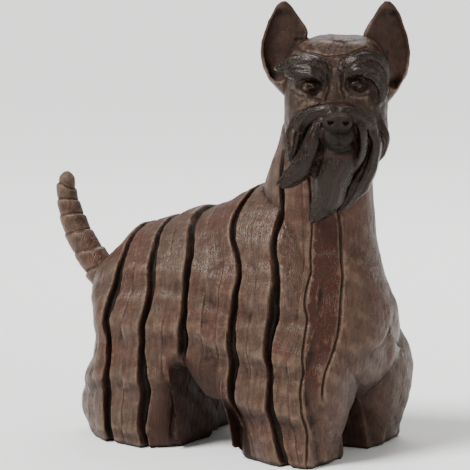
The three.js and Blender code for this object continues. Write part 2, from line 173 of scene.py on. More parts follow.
def half_ring(u, side):
    """One side of a ring: over the back, down the flank, under the foot, up between the legs."""
    left = side > 0
    rear = u < REAR_END
    set_back = REAR_LEG_SET_BACK if left and rear else 0
    crest_z = soft(CREST, u - along(CREST_LEAN, u), 5)
    bottom = along(UNDERSIDE, u + set_back)
    on_foot = bottom < 0
    swell = 1 + 0.17 * step(0, 70, u) if left else 1
    rise = plank_rise(np.array([u]))[0]
    wide = soft(FLANK, u, 5) * swell + rise
    standing = min(along(FOOT, u), along(FOOT, u + set_back)) * swell + rise
    foot_wide = standing if on_foot else wide * 0.9
    widest = along(WIDEST_LINE, u + set_back)
    bell = 0.6 * step(52, SHOULDER_X, u)

    turn = np.linspace(math.pi / 2, 0, 72)
    up = np.sin(turn) ** 0.95
    z = widest + (crest_z - widest) * up
    sink = groove_sink(u, z)
    out = (1 - bell) * np.abs(np.cos(turn)) ** 0.95 + bell * (1 - up) ** 0.85
    arc_y = (wide - sink) * out + ripple(u, z) * np.cos(turn)
    arc_z = z + (0.7 * rise - 0.45 * sink) * up

    z = np.linspace(widest, bottom + FOOT_ROUND, 60)[1:]
    narrow_by = 24 * step(-78, REAR_LEG_FRONT, u + set_back) if rear and on_foot else 0
    out = wide + (foot_wide - wide) * step(widest, bottom + narrow_by, z)
    flank_y = out - groove_sink(u, z) + ripple(u, z)

    end = flank_y[-1]
    turn = np.linspace(0, math.pi / 2, 6)[1:]
    edge_y = end - FOOT_ROUND * (1 - np.cos(turn))
    edge_z = bottom + FOOT_ROUND * (1 - np.sin(turn))

    floor = groove_sink(u, np.array([bottom]))[0]
    low = bottom if on_foot else bottom + floor
    gap_on_foot = REAR_GAP if rear else FORE_GAP + 5 * step(40, 88, u)
    gap = min(gap_on_foot, end - FOOT_ROUND - 3) if on_foot else wide * 0.5
    crotch = (REAR_CROTCH_Z if rear else FORE_CROTCH_Z) if on_foot else low + 1.5
    turn = np.linspace(0, math.pi / 2, 24)
    crotch_y = gap * np.cos(turn)
    crotch_z = low + (crotch - low) * np.sin(turn)
    under_y = np.linspace(edge_y[-1], gap, 14)[1:-1]
    under_z = np.linspace(edge_z[-1], low, 14)[1:-1]

    y = np.concatenate([arc_y, flank_y, edge_y, under_y, crotch_y])
    z = np.concatenate([arc_z, z, edge_z, under_z, crotch_z])
    return np.stack([u + shift(u, z), side * np.maximum(y, 0), z], axis=1)


shells = []


def add_shell(rings):
    """Keeps a closed skin over rings of equally many points."""
    shells.append(np.array(rings, dtype=float))


faces_of_legs = (
    REAR_LEG_FRONT - REAR_LEG_SET_BACK, REAR_LEG_FRONT - REAR_LEG_SET_BACK + 2,
    REAR_LEG_FRONT, REAR_LEG_FRONT + 2, FORE_LEG_BACK, FORE_LEG_BACK + 3.2,
)
stations = np.unique(np.concatenate([np.arange(RUMP_X, SHOULDER_X + 0.5, 0.9), faces_of_legs]))
add_shell([
    np.concatenate([half_ring(u, -1), half_ring(u, 1)[1:-1][::-1]]) for u in stations
])


# Chest, neck and fore legs: upright columns of rounded rings in front of the planks. The neck
# carries the grooves between the planks on, a little shallower, up to the head.
def column(table, sides, place=None, spacing=1.2, reach=6.0):
    """Upright skin through superellipse rings (z, x, y, a, b, power), rounded between them."""
    table = np.array(table, dtype=float)
    heights = np.arange(table[0, 0], table[-1, 0] + spacing / 2, spacing)
    turn = np.linspace(0, 2 * math.pi, sides, endpoint=False)
    rings = []
    for z in heights:
        x, y, a, b, power = (soft(tuple(zip(table[:, 0], table[:, k])), z, reach)
                             for k in range(1, 6))
        c, s = np.cos(turn), np.sin(turn)
        px = x + a * np.sign(c) * np.abs(c) ** (2 / power)
        py = y + b * np.sign(s) * np.abs(s) ** (2 / power)
        ring = np.stack([px, py, np.full(sides, z)], axis=1)
        rings.append(place(ring) if place else ring)
    return np.array(rings)


NECK = (
    (50, 60, 2, 40, 14, 2), (62, 60, 2, 52, 40, 2.2), (78, 60, 4, 58, 70, 2.4),
    (103, 60, 6, 60, 77, 2.4), (127, 60, 6, 58, 70, 2.3), (150, 60, 3, 54, 57, 2.1),
    (182, 60, 0, 49.5, 49, 2), (205, 58.5, 0, 49, 46, 2), (229, 57.5, 0, 48, 44, 2),
    (248, 61, 0, 45, 43, 2), (264, 66, 0, 43, 42, 2), (286, 72, 0, 43, 40, 2),
    (306, 78, 0, 34, 34, 2),
)
NECK_X, NECK_GROOVE_DEPTH = 60.0, 7.2
neck = column(NECK, 260)
flat = neck.reshape(-1, 3)
u, z = station_at(flat[:, 0], flat[:, 2]), flat[:, 2]
sink = groove_sink(u, z, NECK_GROOVE_DEPTH) * step(95, 120, z) * step(262, 240, z)
middle = np.stack([np.full(len(flat), NECK_X), np.zeros(len(flat)), z], axis=1)
inward = middle - flat
inward /= np.maximum(np.linalg.norm(inward, axis=1, keepdims=True), 1)
on_side = step(12, 26, np.abs(flat[:, 1]))
flat += inward * (sink * on_side)[:, None]
add_shell(neck)

add_shell(column((
    (-3, 57, -45, 41, 25, 3), (3, 57, -45, 43, 27, 3), (22, 58, -43, 44, 29, 2.8),
    (40, 59, -41, 47, 31, 2.8), (58, 60, -38, 50, 38, 2.8), (80, 60, -36, 52, 39, 2.6),
    (110, 60, -30, 48, 34, 2.4),
), 160))
add_shell(column((
    (-3, 68, 51, 30, 30, 3), (3, 69, 52, 31, 32, 3), (22, 75, 54, 31, 35, 3),
    (40, 80, 53, 31, 39, 3), (62, 83, 53, 31, 42, 2.8), (82, 82, 50, 31, 42, 2.6),
    (110, 76, 40, 30, 36, 2.4), (130, 68, 30, 26, 28, 2.4),
), 140))


# Ringed tail, swept back and up: a round rod cut into lumpy knobs by slanting slits. The same
# rods serve again for the locks of hair.
def bend(centres, t):
    """Points at shares t along a smooth curve through centres."""
    centres = np.array(centres, dtype=float)
    ends = [2 * centres[0] - centres[1], *centres, 2 * centres[-1] - centres[-2]]
    place = np.clip(t * (len(centres) - 1), 0, len(centres) - 1 - 1e-9)
    i = place.astype(int)
    s = (place - i)[:, None]
    p = np.array(ends)
    a, b, c, d = p[i], p[i + 1], p[i + 2], p[i + 3]
    return 0.5 * (2 * b + (c - a) * s + (2 * a - 5 * b + 4 * c - d) * s ** 2
                  + (3 * b - a - 3 * c + d) * s ** 3)


def rod(centres, wide, deep, thickness, rings, sides, ridge, edge=0.0):
    """Rod along a curve, its skin raised by ridge(share, turn); edge sharpens its two sides."""
    t = np.linspace(0, 1, rings)
    middle = bend(centres, t)
    way = np.gradient(middle, axis=0)
    way /= np.linalg.norm(way, axis=1, keepdims=True)
    across = np.cross(thickness, way)
    across /= np.linalg.norm(across, axis=1, keepdims=True)
    through = np.cross(way, across)
    turn = np.linspace(0, 2 * math.pi, sides, endpoint=False)
    skin = []
    for k, share in enumerate(t):
        tip = math.sqrt(max(1 - max((share - 0.94) / 0.06, 0) ** 2, 0.02))
        raised = ridge(share, turn)
        w = (wide(share) + raised) * tip
        d = (deep(share) + raised) * tip
        lens = np.sin(turn) * np.abs(np.sin(turn)) ** edge
        skin.append(middle[k] + np.outer(w * np.cos(turn), across[k])
                    + np.outer(d * lens, through[k]))
    return np.array(skin)


TAIL = (
    (-140, 0, 112), (-163, 0, 130), (-182, 0, 150), (-198, 0, 172), (-207, 0, 193),
    (-211, 0, 210), (-209.5, 0, 228),
)
TAIL_TAPER = (
    (0, 17), (0.25, 14.5), (0.5, 12.8), (0.72, 10.5), (0.87, 8.8), (0.94, 7.4), (1, 5.2),
)
TAIL_KNOBS = 8


def tail_radius(t):
    """Radius at share t of the tail, a little under its taper because the knobs add to it."""
    return 0.95 * along(TAIL_TAPER, t)


def tail_knobs(t, turn):
    """Lumpy knobs, fullest at their upper rims, parted by slanting slits."""
    place = TAIL_KNOBS * (t + 0.024 * np.cos(turn - 0.5) + 0.008 * np.sin(2 * turn + 9 * t))
    share = place % 1
    lumpy = 1 + 0.35 * math.sin(7 * t + 1) + 0.3 * np.sin(2 * turn + 23 * t)
    knob = 0.15 * lumpy * (share ** 0.8 * np.clip((1 - share) * 7, 0, 1) ** 0.6 - 0.35)
    slit = 1.3 * np.exp(-(np.minimum(share, 1 - share) / 0.045) ** 2)
    slit = slit * (0.3 + 0.7 * np.cos(turn / 2 + t * 5) ** 2)
    return tail_radius(t) * knob - slit


add_shell(rod(TAIL, tail_radius, tail_radius, (0, 1, 0), 260, 90, tail_knobs))

# Head, turned to the dog's right: a rounded skull, a short muzzle and a flat nose. It has its
# own frame: e to the dog's left, f forward, z up.
HEAD_TURN = math.radians(-56)
HEAD_MIDDLE = np.array([76, -5.5, 0])
FORWARD = np.array([math.cos(HEAD_TURN), math.sin(HEAD_TURN), 0])
LEFTWARD = np.array([-math.sin(HEAD_TURN), math.cos(HEAD_TURN), 0])
UPWARD = np.array([0, 0, 1])


def in_head(efz):
    """Points given in the head's frame, moved to the dog's."""
    efz = np.array(efz, dtype=float)
    return HEAD_MIDDLE + efz @ np.stack([LEFTWARD, FORWARD, UPWARD])


SKULL = (
    (236, 0, -4, 30, 30, 2), (250, 2, -3, 34, 34, 2), (262, 2, -2, 40, 37, 2.3),
    (280, 2, -2, 44, 40, 2.4), (300, 2, -3, 44, 40, 2.4), (318, 2, -4, 43.5, 39, 2.4),
    (334, 2, -4, 43, 37, 2.4), (347, 3, -5, 39, 32, 2.3), (355, 4, -6, 33, 25, 2.2),
    (359.5, 5, -7, 25, 17, 2), (361, 5, -7, 15, 9, 2),
)
add_shell(column(SKULL, 200, place=in_head, spacing=0.9, reach=2.5))


def front_rings(table, power):
    """Skin over rounded rings (f, e, z, a, b) stacked forward from the face."""
    table = np.array(table, dtype=float)
    sides = 96
    turn = np.linspace(0, 2 * math.pi, sides, endpoint=False)
    c, s = np.cos(turn), np.sin(turn)
    rings = []
    for f in np.arange(table[0, 0], table[-1, 0] + 0.01, 0.75):
        e, z, a, b = (np.interp(f, table[:, 0], table[:, k]) for k in range(1, 5))
        ring = np.stack([
            e + a * np.sign(c) * np.abs(c) ** (2 / power), np.full(sides, f),
            z + b * np.sign(s) * np.abs(s) ** (2 / power),
        ], axis=1)
        rings.append(in_head(ring))
    return np.array(rings)


add_shell(front_rings((
    (5, 0, 290, 30, 24), (30, 0, 291, 25, 20), (44, 0, 289, 18, 17), (58, 0, 285, 14, 14),
    (65, 0, 283, 12.5, 12), (68, 0, 282.5, 10.5, 10), (70, 0, 282, 7, 6.5),
), power=2.1))
add_shell(front_rings((
    (52, -1, 296, 8, 5), (62, -1, 295, 11, 6.5), (68, -1, 294, 12.5, 7.2),
    (71, -1, 293.8, 12.3, 7), (73.5, -1, 293.6, 11, 6), (75, -1, 293.5, 8, 4),
), power=2.3))

# Ears: upright leaves, hollowed from the front when the whole is carved. The right one mirrors
# the left and is a little shorter, with its foot raised.
EAR_TOP, EAR_SHORTER = 390, 0.08
EAR_F, EAR_HALF_THICK, EARS_MIDDLE = -12, 13, 2
EAR = (
    (296, 34, 41), (306, 33, 50), (315, 32, 57), (327, 31, 63.5), (338, 29.5, 65.5),
    (350, 27, 65.5), (361, 25, 63), (371, 30, 59.5), (380, 36, 56), (387, 41, 52),
    (EAR_TOP, 44.5, 47.5),
)
EAR_HOLLOW = (
    (314, 50, 52), (321, 43, 58), (330, 36, 61.5), (340, 31, 63.4), (350, 29, 63.6),
    (361, 27.5, 61.2), (371, 32.5, 57.8), (380, 38.5, 54), (386, 42.5, 50),
)
EAR_THIN = ((296, 1), (350, 0.9), (EAR_TOP, 0.3))


def ear_side(side, e):
    """Place e on the left ear, mirrored about the ears' middle for the right one."""
    return 2 * EARS_MIDDLE - e if side < 0 else e


for side in (-1, 1):
    table = []
    for z, inner, outer in EAR:
        lift = EAR_SHORTER * (EAR_TOP - z) if side < 0 else 0
        e = ear_side(side, (inner + outer) / 2)
        thick = EAR_HALF_THICK * along(EAR_THIN, z)
        table.append((z + lift, e, EAR_F, (outer - inner) / 2, thick, 2))
    add_shell(column(table, 120, place=in_head, spacing=0.8, reach=3))

# Locks of hair, each a ribbon of a few strands: brows, moustache, whiskers and beard. Each lies
# along a curve on the face and thins out at its end.
BROW_WIDE = ((0, 3), (0.25, 7), (0.75, 7.5), (1, 1.5))
BROW_DEEP = ((0, 3), (0.4, 5), (1, 2.5))
ARCH_WIDE = ((0, 5), (0.3, 6.5), (0.7, 6.5), (1, 3))
ARCH_DEEP = ((0, 4), (0.4, 6), (1, 3))
LOCKS = (
    # centres (e, f, z), half-width by share, half-depth by share, strands
    (((-9, 30, 321), (-12, 31, 333), (-23, 30, 340), (-36, 23, 339), (-51, 11, 334)),
     BROW_WIDE, BROW_DEEP, 6),
    (((-12, 31, 324), (-19, 34, 332), (-31, 30, 333), (-43, 21, 330)), BROW_WIDE, BROW_DEEP, 6),
    (((7, 30, 319), (9, 31, 334), (19, 30, 343), (31, 25, 343), (41, 17, 333), (44, 12, 319)),
     BROW_WIDE, BROW_DEEP, 6),
    (((9, 31, 324), (16, 34, 334), (27, 31, 335), (35, 25, 326), (37, 24, 312), (35, 26, 303)),
     BROW_WIDE, BROW_DEEP, 6),
    (((23, 35, 331), (31, 33, 327), (36, 30, 319)), ((0, 2), (0.5, 3.5), (1, 1)),
     ((0, 3), (1, 2)), 3),
    (((-1, 60, 302), (-13, 56, 302), (-24, 50, 297), (-31, 45, 289), (-35, 42, 277)),
     ARCH_WIDE, ARCH_DEEP, 5),
    (((0, 60, 302), (9, 59, 301), (18, 55, 297), (27, 49, 288), (32, 44, 276)),
     ARCH_WIDE, ARCH_DEEP, 5),
    (((-20, 43, 299), (-31, 40, 289), (-36, 40, 272), (-38.5, 41, 256)),
     ((0, 6), (0.35, 9.5), (0.65, 8.5), (0.9, 4), (1, 0.8)), ((0, 6), (0.5, 8), (1, 2)), 7),
    (((-13, 56, 296), (-19, 56, 284), (-23, 54, 269), (-31, 51, 253), (-41, 47, 244),
      (-52, 44, 239)),
     ((0, 4), (0.2, 6), (0.4, 8), (0.6, 10.5), (0.8, 8), (1, 0.8)),
     ((0, 6), (0.5, 8), (1, 2)), 8),
    (((2, 54, 276), (1, 55, 260), (-5, 51, 245), (-8, 47, 229), (-14, 43, 217), (-22, 40, 207)),
     ((0, 12), (0.2, 15), (0.4, 15), (0.6, 13), (0.8, 10), (1, 2)),
     ((0, 8), (0.5, 11), (1, 3)), 9),
    (((8, 57, 299), (17, 57, 291), (20, 56, 279), (18, 54, 264), (9, 51, 248), (3, 48, 237)),
     ((0, 3.5), (0.4, 4.5), (0.7, 4.5), (1, 0.8)), ((0, 6), (0.5, 8), (1, 2)), 4),
    (((26, 47, 288), (31, 44, 275), (29, 43, 263), (25, 43, 251), (18, 42, 239), (10, 41, 226),
      (0, 39, 213)),
     ((0, 5), (0.17, 6.5), (0.33, 7), (0.5, 8.5), (0.67, 9.5), (0.83, 6), (1, 0.8)),
     ((0, 6), (0.5, 8), (1, 2)), 7),
    (((36, 20, 296), (40, 20, 282), (40, 22, 272), (36, 26, 262), (29, 30, 248)),
     ((0, 3), (0.4, 5.5), (0.7, 5), (1, 0.8)), ((0, 5), (0.5, 7), (1, 2)), 5),
)
for number, (centres, wide, deep, strands) in enumerate(LOCKS):
    def strand_ridges(share, turn):
        lay = turn * strands + 1.7 * math.sin(3 * share + number) + number
        return 0.75 * (np.abs(np.sin(lay / 2)) ** 0.8 - 0.62) + 0.2 * np.sin(2.3 * lay + 9 * share)

    add_shell(rod(in_head(centres), lambda t: along(wide, t), lambda t: along(deep, t),
                  FORWARD, 120, 130, strand_ridges, 0.35))


def comb(points):
    """Nearness of each point to a lock, in half-widths, and its place across and along it."""
    nearest = np.full(len(points), 9.0)
    place = np.zeros((len(points), 3))
    t = np.linspace(0, 1, 36)
    for number, (centres, wide, deep, _) in enumerate(LOCKS):
        middle = bend(in_head(centres), t)
        way = np.gradient(middle, axis=0)
        length = np.concatenate([[0], np.cumsum(np.linalg.norm(np.diff(middle, axis=0), axis=1))])
        way /= np.linalg.norm(way, axis=1, keepdims=True)
        across = np.cross(FORWARD, way)
        across /= np.linalg.norm(across, axis=1, keepdims=True)
        through = np.cross(way, across)
        here = np.flatnonzero((np.abs(points - middle.mean(axis=0)) < 60).all(axis=1))
        gap = points[here, None] - middle
        sideways = np.einsum("nki,ki->nk", gap, across)
        outward = np.einsum("nki,ki->nk", gap, through)
        onward = np.einsum("nki,ki->nk", gap, way)
        share = np.sqrt((sideways / (along(wide, t) + 1)) ** 2
                        + (outward / (along(deep, t) + 1)) ** 2 + (onward / 3) ** 2)
        best = share.argmin(axis=1)
        row = np.arange(len(here))
        closer = share[row, best] < nearest[here]
        spot, best, row = here[closer], best[closer], row[closer]
        nearest[spot] = share[row, best]
        place[spot, 0] = sideways[row, best]
        place[spot, 1] = length[best] + onward[row, best]
        place[spot, 2] = 40.0 * number
    return nearest, place


def mesh_from_shells(name):
    """One mesh object of all the closed skins, in millimetres."""
    points, faces, count = [], [], 0
    for rings in shells:
        many, sides, _ = rings.shape
        index = count + np.arange(many * sides).reshape(many, sides)
        after = np.roll(index, -1, axis=1)
        quads = np.stack([index[:-1], after[:-1], after[1:], index[1:]], axis=-1).reshape(-1, 4)
        skin = rings.reshape(-1, 3)
        a, b, c = (skin[quads[:, k] - count] for k in (0, 1, 2))
        outward = np.einsum("ij,ij->i", a - skin.mean(axis=0), np.cross(b - a, c - a)).sum() > 0
        first, last = index[0][::-1], index[-1]
        if not outward:
            quads, first, last = quads[:, ::-1], first[::-1], last[::-1]
        points.append(skin)
        faces += quads.tolist() + [first.tolist(), last.tolist()]
        count += many * sides
    mesh = bpy.data.meshes.new(name)
    mesh.from_pydata(np.concatenate(points).tolist(), [], faces)
    mesh.validate()
    piece = bpy.data.objects.new(name, mesh)
    bpy.context.collection.objects.link(piece)
    return piece


def choose(piece):
    """Makes this the only selected object."""
    bpy.ops.object.select_all(action="DESELECT")
    piece.select_set(True)
    bpy.context.view_layer.objects.active = piece


VOXEL = 1.05
statuette = mesh_from_shells("terrier")
choose(statuette)
statuette.data.remesh_voxel_size = VOXEL
statuette.data.remesh_voxel_adaptivity = 0
bpy.ops.object.voxel_remesh()


def read(mesh, what):
    """A row of three for each point of a mesh: its place ("co") or its "normal"."""
    values = np.empty(len(mesh.vertices) * 3)
    mesh.vertices.foreach_get(what, values)
    return values.reshape(-1, 3)


def write_points(mesh, points):
    """Moves the points of a mesh to new places."""
    mesh.vertices.foreach_set("co", points.ravel())
    mesh.update()


def smoothed(mesh, values, rounds, share=0.5):
    """Values at the points of a mesh, averaged with their neighbours round after round."""
    pairs = np.empty(len(mesh.edges) * 2, dtype=np.int64)
    mesh.edges.foreach_get("vertices", pairs)
    a, b = pairs.reshape(-1, 2).T
    many = len(mesh.vertices)
    degree = np.maximum(np.bincount(a, minlength=many) + np.bincount(b, minlength=many), 1)
    values = values.copy()
    for _ in range(rounds):
        for k in range(values.shape[1]):
            column_values = values[:, k]
            near = np.bincount(a, weights=column_values[b], minlength=many)
            near += np.bincount(b, weights=column_values[a], minlength=many)
            values[:, k] = column_values + share * (near / degree - column_values)
    return values


def head_frame(points):
    """Points of the dog given in the head's frame."""
    return (points - HEAD_MIDDLE) @ np.stack([LEFTWARD, FORWARD, UPWARD], axis=1)


# Carving on the joined form. Every cut below moves points of the remeshed skin. First the nose,
# the chest, the fold of the belly and the front of the near rear leg are smoothed.
body = statuette.data
points = smoothed(body, read(body, "co"), 1)
rounder = smoothed(body, points, 10)
x, y, z = points.T
e, f, _ = head_frame(points).T
on_nose = step(52, 60, f) * step(264, 270, z) * step(18, 14, np.abs(e))
on_chest = step(86, 94, x) * step(215, 200, z) * step(34, 30, f)
on_belly_fold = step(14, 6, np.hypot(x - 10, z - 52))
blur = np.clip(on_nose + on_chest + on_belly_fold, 0, 1)[:, None]
points = points + blur * (rounder - points)
on_leg_front = step(-68, -58, x) * step(-34, -38, x) * step(102, 84, z) * step(-20, -32, y)
roundest = smoothed(body, points, 45, 0.8)
points = points + on_leg_front[:, None] * (roundest - points)
write_points(body, points)
normals = read(body, "normal")
facing = normals @ FORWARD

# The feet's edges rolled in where they meet the ground.
ROLL, ROLL_SHARE = 6, 0.7
level = ROLL - np.sqrt(ROLL ** 2 - np.clip(ROLL - points[:, 2], 0, ROLL) ** 2)
upright = step(0.75, 0.5, np.abs(normals[:, 2]))[:, None]
points[:, :2] -= ROLL_SHARE * normals[:, :2] * level[:, None] * upright


def line_gap(a, b, path):
    """Distance of points (a, b) from a broken path in the same plane."""
    best = np.full(len(a), 1e9)
    for (a0, b0), (a1, b1) in zip(path, path[1:]):
        long = (a1 - a0) ** 2 + (b1 - b0) ** 2
        share = np.clip(((a - a0) * (a1 - a0) + (b - b0) * (b1 - b0)) / long, 0, 1)
        best = np.minimum(best, np.hypot(a - a0 - share * (a1 - a0), b - b0 - share * (b1 - b0)))
    return best


efz = head_frame(points)


def head_share(points, efz):
    """1 on the head with its whiskers and beard, 0 on the neck and body."""
    skull = step(252, 268, points[:, 2] + 0.35 * (points[:, 0] - 70))
    beard = step(33, 37, efz[:, 1]) * step(198, 204, points[:, 2])
    return np.maximum(skull, beard)


on_head = head_share(points, efz)
on_tail = step(-166, -172, points[:, 0])


def across_leaf(leaf, e, z):
    """Place across a leaf of rows (z, inner, outer): -1 at its inner edge, 1 at its outer."""
    heights, inner, outer = zip(*leaf)
    inner, outer = np.interp(z, heights, inner), np.interp(z, heights, outer)
    return (e - (inner + outer) / 2) / ((outer - inner) / 2)


# Ear hollows: dishes let into the front of each ear, shallow at both ends.
HOLLOW_DEPTH, HOLLOW_END = 14, 8
low, high = EAR_HOLLOW[0][0], EAR_HOLLOW[-1][0]
for side in (-1, 1):
    z = efz[:, 2]
    if side < 0:
        z = (z - EAR_SHORTER * EAR_TOP) / (1 - EAR_SHORTER)
    e = ear_side(side, efz[:, 0])
    thick = EAR_HALF_THICK * along(EAR_THIN, z)
    front_f = EAR_F + thick * np.sqrt(np.clip(1 - across_leaf(EAR, e, z) ** 2, 0, 1))
    across = across_leaf(EAR_HOLLOW, e, z)
    inside = (np.abs(across) < 1) & (z > low) & (z < high + 1)
    inside &= (np.abs(efz[:, 1] - front_f) < 2.5) & (facing > 0)
    bowl = np.clip(1 - np.abs(across) ** 3, 0, 1) ** 0.7 * (0.7 + 0.3 * across)
    ends = step(low, low + HOLLOW_END, z) * step(high, high - HOLLOW_END, z)
    efz[:, 1] -= np.where(inside, HOLLOW_DEPTH * bowl * ends * along(EAR_THIN, z), 0)

# Eyes: a socket with a glossy ball and a raised lid round it.
EYES = ((-22.5, 320), (17, 322))
EYE_RADIUS, EYE_F = 5.6, 30.0
eye_share = np.zeros(len(points))
for eye_e, eye_z in EYES:
    from_e, from_z = efz[:, 0] - eye_e, efz[:, 2] - eye_z
    near = (efz[:, 1] > 15) & (efz[:, 1] < 48)
    reach = np.hypot(from_e / 11.5, from_z / 8.5)
    socket = efz[:, 1] - 5.5 * np.clip(1 - reach ** 2, 0, 1)
    flat = np.hypot(from_e, from_z * 1.12)
    ball = EYE_F + np.sqrt(np.clip(EYE_RADIUS ** 2 - flat ** 2, 0, None))
    is_ball = near & (flat < EYE_RADIUS * 0.93)
    lid = 1.2 * np.exp(-((flat - EYE_RADIUS * 1.16) / 1.0) ** 2)
    efz[:, 1] = np.where(near & (reach < 1), socket, efz[:, 1]) + np.where(near, lid, 0)
    efz[:, 1] = np.where(is_ball, np.maximum(socket - 1, ball), efz[:, 1])
    eye_share = np.maximum(eye_share, is_ball * step(EYE_RADIUS * 0.98, EYE_RADIUS * 0.86, flat))

# Hollows beside and under the eyes: middle (e, z), half-width, half-height and depth.
EYE_HOLLOWS = ((-37, 313, 4, 10, 2.6), (-20, 309, 9, 3, 1.2), (30, 311, 4, 8, 1.6))
for hollow_e, hollow_z, wide, tall, deep in EYE_HOLLOWS:
    reach = np.hypot((efz[:, 0] - hollow_e) / wide, (efz[:, 2] - hollow_z) / tall)
    efz[:, 1] -= deep * np.clip(1 - reach ** 2, 0, 1) * (efz[:, 1] > 5) * (facing > 0)

# Nostrils, mouth and the groove under the nose.
NOSTRILS = ((-7.3, 293.5), (5.2, 293))
for nostril_e, nostril_z in NOSTRILS:
    slant = efz[:, 2] - nostril_z - 0.4 * np.abs(efz[:, 0] - nostril_e)
    hole = np.hypot((efz[:, 0] - nostril_e) / 2.9, slant / 1.8)
    wing = np.hypot((efz[:, 0] - nostril_e) / 5.5, (efz[:, 2] - nostril_z) / 5.5)
    dent = 4 * np.clip(1 - hole ** 2, 0, 1) ** 0.7 - 0.6 * np.clip(1 - wing ** 2, 0, 1)
    efz[:, 1] -= np.where(efz[:, 1] > 60, dent, 0)
MUZZLE_LINES = (
    # path (e, z), depth, and how far from the path the cut begins and is full:
    # the mouth, the lip's parting, the chin and the crease under the nose
    (((-11, 277), (-6, 274.5), (0, 275.5), (7, 274.5), (12, 277)), 1.8, 2.6, 0.3),
    (((-1, 290), (0, 276)), 0.9, 1.8, 0.2),
    (((-8, 270), (1, 268.5), (10, 270.5)), 0.6, 1.8, 0.2),
    (((-14, 292), (-9, 286.6), (0, 285.6), (8, 286.6), (12, 292)), 1.3, 2.2, 0.3),
)
on_muzzle = (efz[:, 1] > 50) & (efz[:, 2] > 266)
lines = sum(deep * step(start, full, line_gap(efz[:, 0], efz[:, 2], path))
            for path, deep, start, full in MUZZLE_LINES)
efz[:, 1] -= np.where(on_muzzle, lines, 0)

# Creases over the brow and the fold where the muzzle's hair begins.
CREASES = (
    ((-32, 357), (-12, 358.5), (8, 356), (24, 358)),
    ((-30, 350), (-8, 344.5), (8, 346), (26, 352)),
    ((-8, 330), (-6, 318), (-9, 309)), ((5, 330), (4, 318), (7, 310)),
    ((46, 347), (46, 318), (43, 292)), ((-40, 318), (-41, 296), (-39, 270)),
    ((-36, 316), (-30, 312), (-20, 311)), ((28, 314), (20, 313), (12, 314)),
)
CREASE_DEPTH = 1.2
front_of_head = step(-14, -4, efz[:, 1]) * step(246, 256, efz[:, 2]) * step(0.0, 0.3, facing)
for path in CREASES:
    gap = line_gap(efz[:, 0], efz[:, 2], path)
    efz[:, 1] -= front_of_head * CREASE_DEPTH * step(1.8, 0.2, gap)
points = HEAD_MIDDLE + efz @ np.stack([LEFTWARD, FORWARD, UPWARD])

# Breast: a plate between the shoulders that breaks off along a curved ridge. The edges here
# are given by height and by their place along the line that crosses the dog at 32 degrees.
BREAST_EDGE = (
    (84, 88), (93.5, 94), (100, 99.4), (111, 106), (122, 108.5), (132, 106), (145, 99.4),
    (163, 89), (185, 80),
)
SHOULDER_EDGE = (
    (0, 107), (16, 109), (32, 116), (54, 125), (67, 127), (81, 124), (105, 110.5), (125, 102),
)
OBLIQUE_X, OBLIQUE_Y = 0.848, 0.53
x, y, z = points.T
oblique = OBLIQUE_X * x + OBLIQUE_Y * y
past = oblique - along(BREAST_EDGE, z)
plate = step(1.3, -1.3, past) * step(86, 104, z) * step(186, 150, z) * step(-50, -18, y)
dished = np.exp(-((past - 4) / 5) ** 2) * step(90, 104, z) * step(170, 150, z)
on_front = step(84, 100, x) * step(0.1, 0.4, normals[:, 0])
points[:, 0] += (5.5 * plate - 1.2 * dished) * on_front

# Far shoulder: the edge of its outer plank.
past = oblique - along(SHOULDER_EDGE, z)
points[:, 0] += (3.2 * (step(1.0, -1.0, past) - 0.5) * on_front * step(128, 104, z)
                 * step(12, 26, y))

# Chest planks: two wavy seams down the near side, the red plank between them a little hollow.
NEAR_SEAM = ((0, 91), (40, 89), (85, 87), (120, 83), (165, 80), (208, 75), (250, 73))
FRONT_SEAM = ((58, 102), (85, 103), (110, 105), (160, 103), (207, 95), (250, 90))


def past_seams(x, z):
    """How far forward of the near seam and of the front seam each point lies."""
    wander = 1.1 * np.sin(z / 15.0) + 0.3 * np.sin(z / 6.1)
    return x - along(NEAR_SEAM, z) - wander, x - along(FRONT_SEAM, z) - 0.8 * wander


x, y, z = points.T
near_seam, front_seam = past_seams(x, z)
low_on_neck = (1 - on_head) * step(262, 244, z)
right_side = step(-22, -30, y) * low_on_neck
left_side = step(22, 30, y) * low_on_neck
seam = 1.8 * step(1.3, 0.3, np.abs(near_seam)) * np.maximum(right_side, left_side)
seam += 1.8 * step(1.3, 0.3, np.abs(front_seam)) * right_side * step(56, 66, z)
between = np.clip(near_seam / np.maximum(near_seam - front_seam, 1), 0, 1)
hollow_plank = 1.6 * np.sin(np.pi * between) * (near_seam > 0) * (front_seam < 0) * right_side
carve = seam + hollow_plank * step(230, 200, z)

# Hand carving all over, in strokes that run with the planks, and furrows on the head.
u = station_at(x, z)
plank_joint = np.min([np.abs(u - j - 0.6 * np.sin(z / 21 + j)) for j in JOINTS], axis=0)
on_flank = (1 - on_head) * (1 - on_tail) * step(96, 80, x)
uneven = step(-0.9, 0.6, waves(points * (1, 1, 0.5), 30, 8))
carve += 0.55 * step(1.0, 0.2, plank_joint) * on_flank * uneven
long_grain = points * (1, 1, 0.16)
carve += (0.08 * waves(long_grain, 4.2, 3) * (1 - on_head)
          + 0.35 * waves(points, 19, 5) * (1 - on_tail))
carve += 0.09 * waves(points, 6, 6)
nearness, lay = comb(points)
on_hair = step(1.45, 1.1, nearness) * on_head * (1 - on_nose) * (1 - eye_share)
carve += 0.42 * waves(lay * (1, 0.1, 1), 3.6, 9) * on_hair
carve += 0.12 * waves(points * (1, 1, 0.5), 4, 11) * on_head * (1 - on_hair) * (1 - eye_share)
normals = smoothed(body, normals, 4)
normals /= np.linalg.norm(normals, axis=1, keepdims=True)
points -= normals * carve[:, None]
write_points(body, (points - ORIGIN) * MM)

